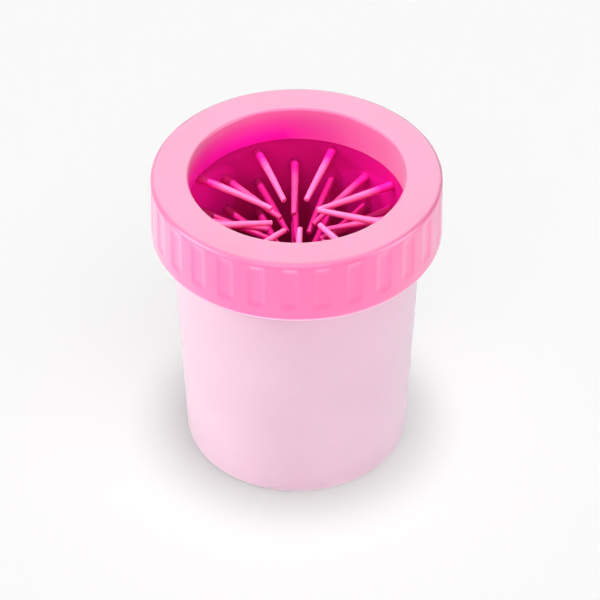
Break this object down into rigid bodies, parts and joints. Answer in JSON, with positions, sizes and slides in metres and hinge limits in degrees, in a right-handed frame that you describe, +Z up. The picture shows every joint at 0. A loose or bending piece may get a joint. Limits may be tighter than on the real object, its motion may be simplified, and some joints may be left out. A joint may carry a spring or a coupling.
{
  "type": "paw washer cup",
  "caption": "Tapered tumbler with a wide fluted screw ring that clamps a soft sleeve of long inward bristles for washing a pet's paw.",
  "frame": {"origin": "centre of the base, on the surface that the cup stands on", "axes": "+Z up along the cup's axis, the way a paw is pulled out; X and Y across the cup"},
  "size_m": [0.0894, 0.0894, 0.101],
  "materials": {
    "cup_plastic": "pale lilac-pink moulded plastic, satin gloss",
    "ring_plastic": "pink moulded plastic, satin gloss",
    "liner_silicone": "magenta silicone, soft satin",
    "bristle_silicone": "pink silicone bristles, soft satin"
  },
  "bodies": {
    "cup": {"cup": "cup_plastic"},
    "liner": {"liner_sleeve": "liner_silicone", "bristle_column_01": "bristle_silicone", "bristle_column_02": "bristle_silicone", "bristle_column_03": "bristle_silicone", "bristle_column_04": "bristle_silicone", "bristle_column_05": "bristle_silicone", "bristle_column_06": "bristle_silicone", "bristle_column_07": "bristle_silicone", "bristle_column_08": "bristle_silicone", "bristle_column_09": "bristle_silicone", "bristle_column_10": "bristle_silicone", "bristle_column_11": "bristle_silicone", "bristle_column_12": "bristle_silicone", "bristle_column_13": "bristle_silicone", "bristle_column_14": "bristle_silicone", "bristle_column_15": "bristle_silicone", "bristle_column_16": "bristle_silicone", "bristle_column_17": "bristle_silicone", "bristle_column_18": "bristle_silicone"},
    "ring": {"screw_ring": "ring_plastic"}
  },
  "joints": [
    {"name": "liner_lift", "type": "slide", "parent": "cup", "child": "liner", "axis": [0, 0, 1], "range_m": [0, 0.0075]},
    {"name": "ring_turn", "type": "hinge", "parent": "liner", "child": "ring", "pos_m": [0, 0, 0.0795], "axis": [0, 0, 1], "range_deg": [0, 450]}
  ],
  "couplings": [
    {"joint": "liner_lift", "follows": "ring_turn", "m_per_rad": 0.00095492}
  ]
}
